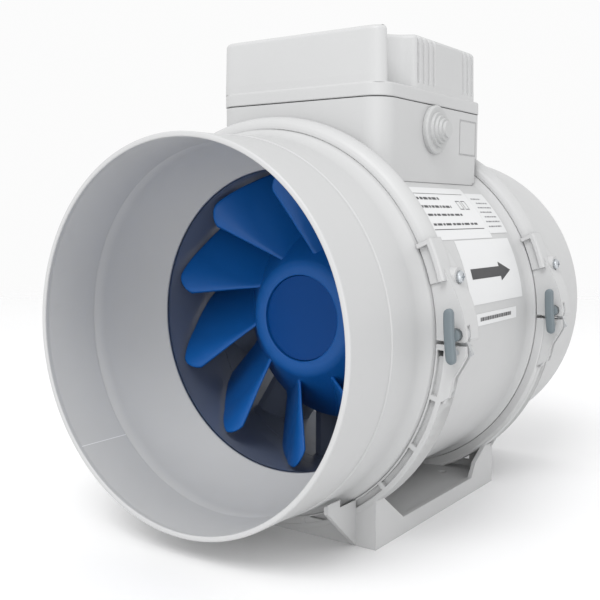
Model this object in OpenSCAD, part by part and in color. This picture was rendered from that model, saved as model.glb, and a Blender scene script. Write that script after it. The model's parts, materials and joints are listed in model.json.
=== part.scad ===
// Inline duct fan, mixed-flow type, for round ducts.
// X runs across, Y along the airflow (the inlet faces -Y), Z up. The origin is the centre of
// the four fixing holes, on the plane that the mounting base stands on. Millimetres.

/* [Duct] */
// Outside radius of both spigots, for a nominal 200 mm duct
duct_r = 99.5; // [99:0.1:99.6]
// Front rim of the inlet spigot
inlet_y = -142; // [-150:1:-135]
// Rear rim of the outlet spigot
outlet_y = 153; // [145:1:165]
// Height of the fan axis above the base plane
axis_h = 111; // [111:0.5:114]

/* [Casing] */
// Outside radius of the centre casing
casing_r = 102;
// Wall thickness of the moulded shells
wall = 2.6; // [2.4:0.1:2.8]
// Distance from the front clamp joint to the rear one
joint_pitch = 133.4; // [133:0.1:134]

/* [Base] */
// Half width of the mounting base
base_hx = 73.2; // [72:0.1:74]
// Half length of the mounting base
base_hy = 73.8;
// Height of the base plate and of its side rails
rail_h = 9.5; // [9:0.1:10]
// Fixing hole radius
fix_r = 2.75; // [2.2:0.05:3]
// Fixing hole distance from the centre, in X and in Y
fix_at = 50; // [46:1:54]

/* [Terminal box] */
// Left and right walls
box_x = [-42.7, 66.4];
// Front and rear walls
box_y = [-59, 65];
// Seam between box and lid
seam_z = 231.5; // [230:0.5:233]
// Top of the lid
lid_z = 267.5; // [262:0.5:270]

/* [Impeller] */
// Number of blades
blades = 10; // [7:1:12]
// Number of guide vanes behind the impeller
vanes = 11; // [7:1:13]

/* [Hidden] */
$fn = 96;
eps = 0.01;

casing_c = [0.84, 0.85, 0.85];
blue_c = [0.10, 0.28, 0.62];
dark_c = [0.20, 0.22, 0.25];
lever_c = [0.52, 0.58, 0.62];
steel_c = [0.70, 0.71, 0.73];
rubber_c = [0.08, 0.08, 0.09];
label_c = [0.95, 0.95, 0.95];

// Clamp joint, described at the front one: a flange inside a round bead, open to the front.
bead_y = -66.7;         // middle of the bead
bead_c = 105.4;         // radius of the bead's centre circle
bead_r = 7;
flange_r = 105.2;       // outside of the captured flange
flange_y = [-75, -63.5];
tube_front = -70;       // tubes start inside the flange ahead of them
joint_y = [-74, -59.6]; // the half rings
split_gap = [-1.5, 0.3];// lower and upper parting faces, from the axis height
flare_y = -86;          // start of the spigot's flare
step_y = 107;           // step that stops a duct pushed over a spigot
pocket = [106.4, 109.6];// pocket between the ribs of the lower half ring
ring_r = 112.4;
rib_step = 15;          // degrees between ribs
rib_w = 2.6;
part_up = 0.16;          // the same faces as angles, at the rings
part_low = -0.8;

// Latch at the front right, from the fan axis
latch_x = 116.2;
latch_z = 3.9;
latch_lean = 4.5;       // lean of the handle at rest, degrees
handle = [4.6, 26, 3.6];  // width, length, thickness
handle_y = -80.3;       // back of the handle
shaft_r = 2.6;
run_fit = 0.06;         // radial clearance of a turning fit
slot_y = [-71.6, -68.4];// slot for the hook
hook_r = [9.95, 11.9];  // lip of the hook
catch_drop = 8.5;       // from the latch pivot down to the catch pin
catch_r = 1.2;
boss_z = 30.7;
boss_y = -66;
boss_x = 112.8;

// Motor, along Y
rotor_y = [-14, 28];
rotor_r = 46;
pod_r = 64;
pod_y = [4, 56];
bearing = [4, 11, 7];   // bore radius, outer radius, width
bearing_y = [-7, 26];
motor_plate_y = 34;

// Box furniture
box_corner = 12;
box_wall = 2.6;
ledge_h = 7.5;
scoop_r = 19.7;
scoop_out = 5.6;        // scoop centre outside the side wall
scoop_y = -43;
grommet_at = [66.4, -3, 218];
conduit_at = [12, 45];

// ---------------------------------------------------------------- helpers

// Children drawn with Z along the airflow, standing on the fan axis
module along_duct() translate([0, 0, axis_h]) rotate([-90, 0, 0]) children();

// Outline in X and height above the axis, as thick as the stretch y
module slab(y) translate([0, y[1], axis_h]) rotate([90, 0, 0])
    linear_extrude(height = y[1] - y[0]) children();

// Outline of [radius, y] turned about the fan axis
module turned(outline) along_duct() rotate_extrude() polygon(outline);

// The same, only between two angles counted from +X towards +Z
module sector(a, outline) along_duct() rotate([0, 0, -a[1]])
    rotate_extrude(angle = a[1] - a[0]) polygon(outline);

function box2(r, y) = [[r[0], y[0]], [r[1], y[0]], [r[1], y[1]], [r[0], y[1]]];

module pipe(r, y) turned(box2(r, y));

// Cylinder along Y at a place [x, z above the axis]
module rod_y(at, r, y) translate([at[0], y[0], axis_h + at[1]]) rotate([-90, 0, 0])
    cylinder(r = r, h = y[1] - y[0]);

// Cylinder along a radius of the duct, at an angle from +X towards +Z
module rod_radial(a, y, r, reach) translate([0, y, axis_h]) rotate([0, -a, 0])
    translate([reach[0], 0, 0]) rotate([0, 90, 0]) cylinder(r = r, h = reach[1] - reach[0]);

// Both sides of the fan
module both_sides() { children(); mirror([1, 0, 0]) children(); }

// Both clamp joints
module both_joints() { children(); translate([0, joint_pitch, 0]) children(); }

function arc(c, r, a0, a1, n = 8) =
    [for (i = [0:n]) let (a = a0 + (a1 - a0) * i / n) [c[0] + r * cos(a), c[1] + r * sin(a)]];

// Rounded rectangle between x[0], x[1] and y[0], y[1]
module plate2(x, y, r) {
    translate([x[0] + r, y[0]]) square([x[1] - x[0] - 2 * r, y[1] - y[0]]);
    translate([x[0], y[0] + r]) square([x[1] - x[0], y[1] - y[0] - 2 * r]);
    for (cx = [x[0] + r, x[1] - r], cy = [y[0] + r, y[1] - r])
        translate([cx, cy]) circle(r = r);
}

function grown(s, d) = [s[0] - d, s[1] + d];

// Pan head with a cross recess, its top at z = head and the shank below
module pan_screw(head_r, head, shank_r, length) {
    difference() {
        union() {
            cylinder(r = head_r, h = head * 0.55);
            translate([0, 0, head * 0.55 - eps])
                cylinder(r1 = head_r, r2 = head_r * 0.72, h = head * 0.45 + eps);
        }
        for (a = [0, 90]) rotate(a) translate([-head_r * 0.62, -head_r * 0.11, head * 0.5])
            cube([head_r * 1.24, head_r * 0.22, head]);
    }
    translate([0, 0, -length]) cylinder(r = shank_r, h = length + eps);
}

// ---------------------------------------------------------------- clamp joint

// Radius at y of a tube that flares into its flange; the flare ends where the flange starts
function flare_arc(r0, start, r1 = flange_r) =
    let (dy = flange_y[0] - start, dr = r1 - r0, rho = (dy * dy + dr * dr) / (2 * dr))
    [for (i = [0:6]) let (y = start + dy * i / 6, s = y - start)
        [r0 + rho - sqrt(rho * rho - s * s), y]];

// Upper half collar: round bead, hoods over both ends, side panels and the latch arms
module collar() difference() {
    union() {
        sector([24, 156], concat(
            arc([bead_c, bead_y], bead_r, -90, 90, 14),
            [[casing_r - 1, bead_y + bead_r], [casing_r - 1, flange_y[1] + 0.5],
             [bead_c + 0.05, flange_y[1] + 0.5]],
            arc([bead_c + 0.05, bead_y], 4.4, 45, -90, 6)));
        both_sides() {
            sector([part_up, 25.2], [[casing_r - 1.3, flange_y[1] + 0.8],
                [bead_c + 0.1, flange_y[1] + 0.8], [bead_c + 0.1, joint_y[0]],
                [pocket[1], joint_y[0]], [pocket[1], joint_y[1]],
                [casing_r - 1.3, joint_y[1]]]);
            latch_arm();
            hood();
        }
    }
    both_sides() {
        rod_y([latch_x, latch_z], shaft_r + run_fit, [-90, -61]);
        hook_slot();
        translate([104, boss_y, axis_h + boss_z]) rotate([0, 90, 0])
            cylinder(r = 1.95, h = 20);
        translate([boss_x, boss_y, axis_h + boss_z]) rotate([0, 90, 0])
            cylinder(r = 3.6, h = 10);
    }
}

// Hood over the end of the bead: its face is recessed behind a roof and an outer rim
module hood() difference() {
    sector([14.8, 25.7], [[bead_c + 0.4, -77.5], [113.4, -77.5], [114.3, -76.6],
        [114.3, bead_y + 0.6], [bead_c + 0.4, bead_y + 0.6]]);
    sector([14, 24.5], [[104, -79], [111.4, -79], [111.4, -75], [104, -75]]);
}

// Solid wing beside the side panel that carries the lever's shaft and the locking screw
module latch_arm() {
    slab(joint_y) arm_outline();
    translate([107, boss_y, axis_h + boss_z]) rotate([0, 90, 0])
        cylinder(r = 4.6, h = boss_x - 107);
}

module arm_outline() difference() {
    polygon([[100, split_gap[1]], [120.3, split_gap[1]], [121, 1.4], [120.7, 6], [119.8, 11],
        [118.6, 15.6], [116.8, 20.4], [114.4, 25.4], [111.6, 30.4], [108.6, 35.4],
        [105.6, 40.2], [103, 44.2], [96, 42]]);
    circle(r = bead_c + 0.7);
}

// Space swept by the hook, from latched to fully open
module hook_slot() slab(slot_y) translate([latch_x, latch_z]) {
    circle(r = 4.8);
    intersection() {
        circle(r = hook_r[1] + 0.5);
        polygon([[0, 0], 30 * [cos(-120), sin(-120)], [0, -40], [40, -40], [40, 40],
            30 * [cos(49), sin(49)]]);
    }
}

// Inner side of a half ring, as [radius, y] points
ring_inside = [[casing_r + 0.3, joint_y[1]], [casing_r + 0.3, flange_y[1] + 0.7],
    [flange_r + 0.25, flange_y[1] + 0.7]];

// Lower half ring of the base with its two catches; the front one has ribs in a pocket
module half_ring(ribs) difference() {
    union() {
        if (ribs) {
            sector([-180 - part_low, part_low], concat([[flange_r + 0.25, joint_y[0]],
                [pocket[0], joint_y[0]], [pocket[0], -65], [pocket[1], -65],
                [pocket[1], joint_y[0]], [ring_r, joint_y[0]], [ring_r, joint_y[1]]],
                ring_inside));
            both_sides() sector([part_low - 1.5, part_low],
                box2([pocket[0] - 0.3, pocket[1] + 0.3], [joint_y[0], -64]));
        } else sector([-180 - part_low, part_low], concat([[flange_r + 0.25, joint_y[0]],
            [109.6, joint_y[0]], [111.6, -73.2], [ring_r, -71.4], [ring_r, -69.6],
            [ring_r - 0.7, -69.2], [ring_r, -68.8], [ring_r, -64.6], [ring_r - 0.7, -64.2],
            [ring_r, -63.8], [ring_r, -62], [111.6, -60.4], [109.6, joint_y[1]]],
            ring_inside));
        if (ribs) for (k = [1:11]) rotate_ring(-k * rib_step)
            translate([pocket[0] - 0.3, joint_y[0], -rib_w / 2])
                cube([pocket[1] - pocket[0] + 0.6, 10, rib_w]);
        both_sides() catch_ears();
    }
    translate([-200, joint_y[0] - 1, -60]) cube([400, 40, 60]);
    both_sides() {
        hook_slot();
        rod_y([latch_x, latch_z - catch_drop], catch_r + 0.02, [joint_y[0] - 1, boss_y + 1]);
    }
}

module rotate_ring(a) translate([0, 0, axis_h]) rotate([0, -a, 0]) children();

// Two ears that carry the catch pin, and the rib that runs down from them
module catch_ears() {
    for (y = [[joint_y[0], -71.8], [-68.2, boss_y]]) slab(y) difference() {
        polygon([[104, split_gap[0]], [120.8, split_gap[0]], [121.2, -6], [118.6, -11],
            [115, -17], [112.6, -27],
            [106, -31], [96, -31]]);
        circle(r = pocket[1] + 1.1);
    }
    slab([-72.2, -68]) difference() {
        polygon([[108, -8], [113.4, -12], [112.8, -24], [106, -34], [100, -34]]);
        circle(r = pocket[1] + 1.6);
    }
}

// ---------------------------------------------------------------- base

module base_body() {
    // plate, skirt and screw bosses
    difference() {
        translate([-base_hx, -base_hy, 0]) cube([2 * base_hx, 2 * base_hy, rail_h]);
        translate([-base_hx + wall, -base_hy + wall, -1])
            cube([2 * (base_hx - wall), 2 * (base_hy - wall), rail_h - 4 + 1]);
        translate([-base_hx + wall, -base_hy + wall, rail_h - 1.5])
            cube([2 * (base_hx - wall), 2 * (base_hy - wall), 10]);
    }
    for (x = [-fix_at, fix_at], y = [-fix_at, fix_at]) translate([x, y, 0])
        cylinder(r = 6.5, h = rail_h - 1.6);
    // side walls, open between the columns
    both_sides() translate([base_hx - wall, 0, 0]) rotate([90, 0, 90])
        linear_extrude(height = wall) polygon([[-base_hy, 0], [base_hy, 0], [base_hy, 29],
            [67.8, 29], [48.1, 17.7], [42.6, rail_h - eps], [-44.3, rail_h - eps],
            [-67.5, 27], [-base_hy, 27]]);
    // front and rear walls with the columns that carry the half rings
    translate([0, 0, -axis_h]) {
        slab([-base_hy, -base_hy + wall]) end_wall(base_hx);
        slab([base_hy - wall - 0.2, base_hy - 0.2]) end_wall(82.2);
    }
    both_sides() for (s = [-1, 1]) gusset(s);
}

// End wall seen along the duct, heights from the base plane; shoulder is its widest reach
module end_wall(shoulder) difference() {
    union() {
        translate([-base_hx, 0]) square([2 * base_hx, 12]);
        both_sides2() polygon([[58.7, 0], [base_hx, 0], [base_hx, 23],
            [shoulder, 40], [58.7, 40]]);
    }
    translate([0, axis_h]) circle(r = pocket[1] + 0.8);
}

module both_sides2() { children(); mirror([1, 0]) children(); }

// Triangular rib ahead of an end wall that carries the spigot's flare
module gusset(side) scale1(side) translate([61.3 - wall, 0, 0]) rotate([90, 0, 90])
    linear_extrude(height = wall) polygon([[-base_hy + eps, 0], [-100, 23.5], [-100, 40],
        [-base_hy + eps, 40]]);

module scale1(side) if (side < 0) children(); else mirror([0, 1, 0]) children();

module mounting_base() color(casing_c) difference() {
    union() {
        difference() {
            base_body();
            // room for the spigots, the casing and their flanges
            pipe([0, casing_r + 0.6], [-130, 140]);
            for (y = [0, joint_pitch]) pipe([0, flange_r + 0.7], [flare_y + y - 3, -61.4 + y]);
        }
        half_ring(true);
        translate([0, joint_pitch, 0]) half_ring(false);
    }
    for (x = [-fix_at, fix_at], y = [-fix_at, fix_at]) translate([x, y, -1])
        cylinder(r = fix_r, h = 20);
    both_joints() both_sides() hook_slot();
}

module catch_pins() color(steel_c) both_joints() both_sides()
    rod_y([latch_x, latch_z - catch_drop], catch_r, [joint_y[0] + 0.3, boss_y - 0.3]);

// ---------------------------------------------------------------- shells

module inlet_spigot() color(casing_c) turned(concat(
    [[duct_r - 3.1, inlet_y], [duct_r, inlet_y], [duct_r, -step_y - 0.5],
     [duct_r + 0.8, -step_y]],
    flare_arc(duct_r + 1.5, flare_y),
    [[flange_r, flange_y[1]], [casing_r + 0.7, flange_y[1]], [casing_r + 0.7, flange_y[0] + 2]],
    [[duct_r - 1.2, flare_y - 1], [duct_r - 1.2, -step_y], [duct_r - 2.5, -step_y],
     [duct_r - 2.5, inlet_y + 3]]));

// Bellmouth from the spigot's bore down to the eye of the impeller
cone_rho = 83;
cone_c = [duct_r - 2.5 - cone_rho, -100];
cone_eye_y = -57;
function cone_r(y, grow = 0) = let (s = max(0, y - cone_c[1]), q = cone_rho + grow)
    cone_c[0] + sqrt(q * q - s * s);
module inlet_cone() color(casing_c) turned(concat(
    [[duct_r - 1.3, -step_y + 0.2], [duct_r - 2.5, -step_y + 0.2]],
    [for (i = [0:10]) let (y = cone_c[1] + (cone_eye_y - cone_c[1]) * i / 10) [cone_r(y), y]],
    [[casing_r - 2.8, cone_eye_y], [casing_r - 2.8, cone_eye_y - 2],
     [cone_r(cone_eye_y - 2, 2.2), cone_eye_y - 2]],
    [for (i = [1:6]) let (y = cone_eye_y - 2 + (-86 - cone_eye_y + 2) * i / 6)
        [min(duct_r - 1.3, cone_r(y, 2.2)), y]]));

module seal(y) color(rubber_c) pipe([casing_r + 0.1, casing_r + 0.6], [y, y + 4]);
module front_seal() seal(tube_front + 1);
module rear_seal() seal(tube_front + 1 + joint_pitch);

module centre_casing() color(casing_c) difference() {
    union() {
        turned(concat(
            [[casing_r - wall, tube_front], [casing_r, tube_front], [casing_r, 50.8]],
            [for (p = flare_arc(casing_r, flange_y[0] - 7.4)) [p[0], p[1] + joint_pitch]],
            [[flange_r, flange_y[1] + joint_pitch], [casing_r + 0.7, flange_y[1] + joint_pitch],
             [casing_r + 0.7, flange_y[0] + joint_pitch + 1.5], [casing_r - wall, 54]]));
        collar();
    }
    for (a = [70, 104], y = [-48, 46]) rod_radial(a, y, 1.75, [95, 103]);
    translate([conduit_at[0], conduit_at[1], axis_h]) cylinder(r = 6.6, h = 120);
}

module outlet_spigot() color(casing_c) union() {
    turned([[casing_r - wall, tube_front + joint_pitch], [casing_r, tube_front + joint_pitch],
        [casing_r, 76], [duct_r + 0.8, step_y], [duct_r, step_y + 0.5], [duct_r, outlet_y],
        [duct_r - 3.1, outlet_y], [duct_r - 2.5, outlet_y - 3], [duct_r - 2.5, 88],
        [casing_r - wall, 78]]);
    translate([0, joint_pitch, 0]) collar();
}

// ---------------------------------------------------------------- airflow parts

shroud_in = [[86.3, -56], [94, -12], [95.2, 2]];
module impeller_shroud() color(dark_c) turned([shroud_in[0], shroud_in[1], shroud_in[2],
    [99.1, 2], [99.1, -0.5], [97.6, -0.5], [96.4, -12], [89.1, -53.5], [99.1, -53.5],
    [99.1, -56]]);

// Outer tube round the guide vanes, its bore as [radius, y] points
vane_bore = [[95.2, 2.4], [96, 20], [96, 58]];
module guide_vane_housing() color(dark_c) difference() {
    turned([vane_bore[0], [99.1, 2.4], [99.1, 5], [98.5, 5], [98.5, 55.5], [99.1, 55.5],
        [99.1, 58], vane_bore[2], vane_bore[1]]);
    translate([conduit_at[0], conduit_at[1], axis_h + 70]) cylinder(r = 3.4, h = 60);
}

// Plates bent to an arc: in line with the swirl at their front, with the axis at their rear
vane_rho = 44;
module guide_vanes() color(dark_c) intersection() {
    along_duct() for (k = [0:vanes - 1]) rotate(90 + (k + 0.5) * 360 / vanes)
        translate([0, 0, 46]) rotate([0, -90, 0]) translate([0, 0, pod_r - 3])
            linear_extrude(height = 100 - pod_r) difference() {
                intersection() {
                    translate([0, -vane_rho]) circle(r = vane_rho + 1.1);
                    translate([-36, -27]) square([36, 30]);
                }
                translate([0, -vane_rho]) circle(r = vane_rho - 1.1);
            }
    turned([[pod_r, -5], [pod_r, 70], [96, 70], vane_bore[1], [95.2, 2.4], [95.2, -5]]);
}

// Wall of the motor pod, with the plate that the motor is screwed to
module motor_pod() color(dark_c) difference() {
    union() {
        turned([[pod_r - 1, pod_y[0]], [pod_r, pod_y[0] + 1], [pod_r, pod_y[1]],
            [pod_r - 2.4, pod_y[1]], [pod_r - 2.4, pod_y[0]]]);
        pipe([14, pod_r - 2], [37.3, 40]);
    }
    for (k = [0:3]) rod_y(42 * [cos(45 + 90 * k), sin(45 + 90 * k)], 2.1, [30, 50]);
    translate([conduit_at[0], conduit_at[1], axis_h + 50]) cylinder(r = 3.4, h = 20);
}

module pod_cover() color(dark_c) turned(concat([[0, pod_y[1] + 5], [0, pod_y[1] + 2.6]],
    [[52, pod_y[1] - 2], [pod_r - 4.6, pod_y[1] - 2], [pod_r - 4.6, pod_y[1] - 6],
     [pod_r - 2.6, pod_y[1] - 6], [pod_r - 2.6, pod_y[1] + 0.2], [pod_r, pod_y[1] + 0.2],
     [pod_r - 3, pod_y[1] + 2.4], [30, pod_y[1] + 4.4]]));

// ---------------------------------------------------------------- impeller

hub_front = [30, -36.3];
hub_back = [pod_r + 0.5, 0];
hub_nose = [27, -33.4];
hub_slope = (hub_back[0] - hub_front[0]) / (hub_back[1] - hub_front[1]);
nose_r = 4.2;
cap_r = 25.2;

// Edges of a blade, u from the leading to the trailing edge: [radius, y, angle]
blade_t = 2.2;
root_twist = -24;
tip_lead = 20;
tip_twist = -35.5;
corner = 0.09;          // how far the leading corner at the tip is rounded back
function root_line(u) = [36 + (hub_back[0] - 36.6) * u, -30 + 29 * u, root_twist * pow(u, 0.9)];
function tip_line(u) = let (y = -50 + 48 * u)
    [min(84.6 + (y + 54) * 0.181, 92.6), y, tip_lead + tip_twist * pow(u, 0.6)];
function round_back(v) = corner * pow(max(0, (v - 0.66) / 0.34), 2.6);
function polar(p) = [p[0] * cos(p[2]), p[0] * sin(p[2]), p[1]];
function blade_mid(u, v) = let (w = round_back(v) + (1 - round_back(v)) * u,
    a = polar(root_line(w)), b = polar(tip_line(w))) a + (b - a) * v;
function unit(v) = v / norm(v);
function blade_normal(u, v) = unit(cross(
    blade_mid(u + 0.01, v) - blade_mid(u - 0.01, v), blade_mid(u, v + 0.01) - blade_mid(u, v - 0.01)));
blade_nu = 10;
blade_nv = 8;
module blade() {
    points = [for (side = [-1, 1], i = [0:blade_nu], j = [0:blade_nv])
        let (u = i / blade_nu, v = -0.08 + 1.08 * j / blade_nv,
             t = blade_t * (1 - 0.35 * v) * (i == 0 || i == blade_nu ? 0.45 : 1))
        blade_mid(u, v) + side * t / 2 * blade_normal(max(u, 0.02), v)];
    row = blade_nv + 1;
    half = row * (blade_nu + 1);
    faces = concat(
        [for (i = [0:blade_nu - 1], j = [0:blade_nv - 1]) let (p = i * row + j)
            each [[p, p + row, p + 1], [p + 1, p + row, p + row + 1]]],
        [for (i = [0:blade_nu - 1], j = [0:blade_nv - 1]) let (p = half + i * row + j)
            each [[p, p + 1, p + row], [p + 1, p + row + 1, p + row]]],
        [for (i = [0:blade_nu - 1], e = [0, 1]) let (p = i * row + e * blade_nv)
            each e == 0 ? [[p, half + p, p + row], [half + p, half + p + row, p + row]]
                        : [[p, p + row, half + p], [half + p, p + row, half + p + row]]],
        [for (j = [0:blade_nv - 1], e = [0, 1]) let (p = e * blade_nu * row + j)
            each e == 0 ? [[p, p + 1, half + p], [half + p, p + 1, half + p + 1]]
                        : [[p, half + p, p + 1], [half + p, half + p + 1, p + 1]]]);
    polyhedron(points, faces);
}

module impeller() color(blue_c) difference() {
    along_duct() rotate_extrude() difference() {
        union() {
            translate(hub_nose) circle(r = nose_r);
            polygon([hub_front, hub_back, [hub_back[0], 2.5], [hub_back[0] - 2.6, 2.5],
                [hub_back[0] - 2.6, 0.8], [27.5, -35.2]]);
            translate([24, -33]) square([2.6, 18.7]);
            translate([4.3, -17]) square([21, 2.7]);
        }
        translate([0, -45]) square([cap_r, 12]);
    }
    for (k = [0:3]) rod_y(17 * [cos(90 * k), sin(90 * k)], 2.1, [-20, -10]);
}

// The ten blades, each down to the cone of the hub
module impeller_blades() color(blue_c) for (k = [0:blades - 1]) difference() {
    // angles run from +X towards +Z, seen from the inlet
    translate([0, 0, axis_h]) rotate([90, 0, 0]) rotate(9.5 + k * 360 / blades)
        mirror([0, 0, 1]) blade();
    turned([[0, -40], hub_front + 3.7 * [-hub_slope, -1], hub_back + 3 * [hub_slope, 1],
        [0, 3]]);
}

module impeller_cap() color(blue_c) turned([[0, -35.4], [cap_r - 0.6, -35.4],
    [cap_r - 0.3, -35.1], [cap_r - 0.3, -33.1], [20, -33.1], [19, -33.4], [0, -33.4]]);

module impeller_screws() color(steel_c) for (k = [0:3])
    translate([17 * cos(90 * k), -17.1, axis_h + 17 * sin(90 * k)]) rotate([90, 0, 0])
        pan_screw(3.6, 2.2, 1.9, 4.6);

// ---------------------------------------------------------------- motor

module rotor_shell() color(steel_c) difference() {
    union() {
        pipe([3.98, rotor_r], [rotor_y[0], rotor_y[0] + 2.5]);
        pipe([rotor_r - 2.2, rotor_r], rotor_y);
        pipe([3.98, 8], [rotor_y[0], rotor_y[0] + 5.5]);
    }
    for (k = [0:3]) rod_y(17 * [cos(90 * k), sin(90 * k)], 1.95, [-20, -11]);
}

module rotor_cage() color([0.6, 0.6, 0.62]) pipe([41.2, rotor_r - 2.3], [-5, 23]);

module rotor_shaft() color(steel_c) turned([[0, -15.6], [3.4, -15.6], [3.96, -15], [3.96, 33.4],
    [3.5, 33.4], [3.5, 34.4], [3.96, 34.4], [3.96, 35.6], [3.4, 36.2], [0, 36.2]]);

module shaft_circlip() color(steel_c) difference() {
    pipe([3.55, 6.4], [33.5, 34.3]);
    slab([33, 35]) translate([-1.2, -8]) square([2.4, 8]);
}

module ball_bearing(y) color(steel_c) difference() {
    pipe([bearing[0] + 0.02, bearing[1]], [y, y + bearing[2]]);
    for (s = [[y - 1, y + 0.8], [y + bearing[2] - 0.8, y + bearing[2] + 1]])
        pipe([6.2, 9.2], s);
}
module front_bearing() ball_bearing(bearing_y[0]);
module rear_bearing() ball_bearing(bearing_y[1]);

module stator_core() color([0.45, 0.46, 0.48]) difference() {
    pipe([15, 40.4], [-4, 22]);
    for (k = [0:11]) rotate_ring(15 + 30 * k) {
        translate([20, -10, -3.4]) cube([15, 40, 6.8]);
        translate([30, -10, -0.9]) cube([12, 40, 1.8]);
    }
}

module stator_windings() color([0.72, 0.42, 0.2]) {
    for (y = [[-9.6, -4.1], [22.1, 27.4]]) pipe([19, 35.5], y);
    for (k = [0:11]) rotate_ring(15 + 30 * k)
        translate([20.4, -4.2, -2.9]) cube([9.4, 26.4, 5.8]);
}

module motor_flange() color([0.62, 0.63, 0.65]) difference() {
    union() {
        pipe([bearing[1] + 0.03, 14.9], [bearing_y[0] - 1, motor_plate_y + 0.1]);
        pipe([9.4, bearing[1] + 0.1], [bearing_y[0] + bearing[2] + 0.1, bearing_y[1] - 0.1]);
        pipe([8.2, 50], [motor_plate_y, motor_plate_y + 3]);
    }
    for (k = [0:3]) rod_y(42 * [cos(45 + 90 * k), sin(45 + 90 * k)], 1.95, [30, 45]);
}

module motor_screws() color(steel_c) for (k = [0:3])
    translate([42 * cos(45 + 90 * k), 40.1, axis_h + 42 * sin(45 + 90 * k)])
        rotate([-90, 0, 0]) pan_screw(3.8, 2.4, 1.9, 6);

// ---------------------------------------------------------------- terminal box

// Prism over the box outline, grown by d
module box_prism(z, d = 0, y = box_y) translate([0, 0, z[0]])
    linear_extrude(height = z[1] - z[0]) plate2(grown(box_x, d), grown(y, d), box_corner + d);

lid_fix = [for (x = [box_x[0] + 6.2, box_x[1] - 6.2]) [x, scoop_y]];

module terminal_box() color(casing_c) difference() {
    union() {
        difference() {
            box_prism([axis_h + 60, seam_z - 0.3]);
            difference() {
                box_prism([axis_h + 50, seam_z + 1], -box_wall);
                pipe([0, casing_r + 2.8], [-70, 80]);
            }
        }
        for (p = lid_fix) translate([p[0], p[1], axis_h + 75]) cylinder(r = 4.4, h = 45);
        for (p = [[20, -38], [20, -8], [38, -38], [38, -8]])
            translate([p[0], p[1], axis_h + 92]) cylinder(r = 3, h = 12.1);
    }
    pipe([0, casing_r + 0.15], [-80, 90]);
    pipe([0, casing_r + 1.2], [50, 54]);
    pipe([0, ring_r + 2.4], [52.6, 90]);
    for (p = lid_fix) translate([p[0], p[1], seam_z - 12]) cylinder(r = 1.75, h = 20);
    for (a = [70, 104], y = [-48, 46]) rod_radial(a, y, 1.75, [100, 108]);
    translate(grommet_at + [-9, 0, 0]) rotate([0, 90, 0]) cylinder(r = 8.1, h = 12);
    translate([conduit_at[0], conduit_at[1], axis_h]) cylinder(r = 4.2, h = 116);
    // line round a panel in the right wall
    translate([box_x[1] - 0.4, 0, 0]) difference() {
        translate([0, 30.5, 206]) cube([1, 22.5, 20.6]);
        translate([-1, 31.3, 206.8]) cube([3, 20.9, 19]);
    }
}

module box_screws() color(steel_c) for (a = [70, 104], y = [-48, 46])
    translate([0, y, axis_h]) rotate([0, -a, 0]) translate([casing_r + 2.95, 0, 0])
        rotate([0, 90, 0]) pan_screw(3.2, 2.2, 1.7, 5);

module box_gasket() color(rubber_c) difference() {
    box_prism([seam_z - 0.3, seam_z + 0.2], -0.6);
    box_prism([seam_z - 1, seam_z + 1], -box_wall + 0.3);
}

module scoops(z) for (x = [box_x[0] - scoop_out, box_x[1] + scoop_out])
    translate([x, scoop_y, z]) cylinder(r = scoop_r, h = 60);

groove_w = 2.2;
groove_d = 1.3;
module box_lid() color(casing_c) difference() {
    union() {
        box_prism([seam_z + 0.2, seam_z + ledge_h]);
        difference() {
            box_prism([seam_z + ledge_h - 1, lid_z], 0, [box_y[0], box_y[1] - 5]);
            scoops(seam_z + ledge_h);
        }
    }
    difference() {
        union() {
            box_prism([seam_z - 1, seam_z + ledge_h - 2], -box_wall);
            box_prism([seam_z, lid_z - box_wall], -box_wall, [box_y[0], box_y[1] - 5]);
        }
        for (x = [box_x[0] - scoop_out, box_x[1] + scoop_out]) translate([x, scoop_y, seam_z])
            cylinder(r = scoop_r + box_wall, h = 60);
    }
    // screw holes and counterbores in the ledges
    for (p = lid_fix) translate([p[0], p[1], seam_z]) {
        translate([0, 0, -2]) cylinder(r = 2.1, h = 20);
        translate([0, 0, ledge_h - 3.4]) cylinder(r = 3.7, h = 20);
    }
    // two groups of grip grooves in each side
    for (x = [box_x[0] - 1, box_x[1] - groove_d], y0 = [-20, 36], k = [0:3])
        translate([x, y0 + 6 * k - groove_w / 2, seam_z + ledge_h + 3])
            cube([groove_d + 1, groove_w, 60]);
}

module lid_screws() color(steel_c) for (p = lid_fix)
    translate([p[0], p[1], seam_z + ledge_h - 3.3]) pan_screw(3.2, 2.4, 1.7, 15);

module cable_grommet() color([0.74, 0.75, 0.75]) translate(grommet_at) rotate([0, 90, 0])
    rotate_extrude() polygon([[0, 9.4], [4.6, 9.4], [4.6, 7.9], [6.2, 7.9], [6.2, 6.3],
        [7.8, 6.3], [7.8, 4.7], [9.6, 4.7], [9.6, 3], [12.6, 3], [13.4, 2.2], [13.4, 0.1],
        [8, 0.1], [8, -box_wall - 0.1], [10, -box_wall - 0.1], [10, -box_wall - 2],
        [6.6, -box_wall - 2], [6.6, 3.6], [5, 5.2], [3.4, 6.8], [1.8, 8.2], [0, 8.2]]);

// ---------------------------------------------------------------- electrics

module terminal_block() color([0.9, 0.9, 0.86]) difference() {
    translate([14, -44, axis_h + 104.2]) cube([30, 42, 15]);
    for (k = [0:4]) translate([14, -44 + 8.4 * (k + 1) - 0.4, axis_h + 110.7])
        if (k < 4) translate([-1, 0, 0]) cube([32, 0.8, 20]);
    for (k = [0:4], x = [20, 38]) translate([x, -39.8 + 8.4 * k, axis_h + 110.7])
        cylinder(r = 2.5, h = 20);
}

module terminal_screws() color(steel_c) for (k = [0:4], x = [20, 38])
    translate([x, -39.8 + 8.4 * k, axis_h + 110.8]) difference() {
        cylinder(r = 2.3, h = 3);
        translate([-3, -0.35, 2]) cube([6, 0.7, 2]);
    }

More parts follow.
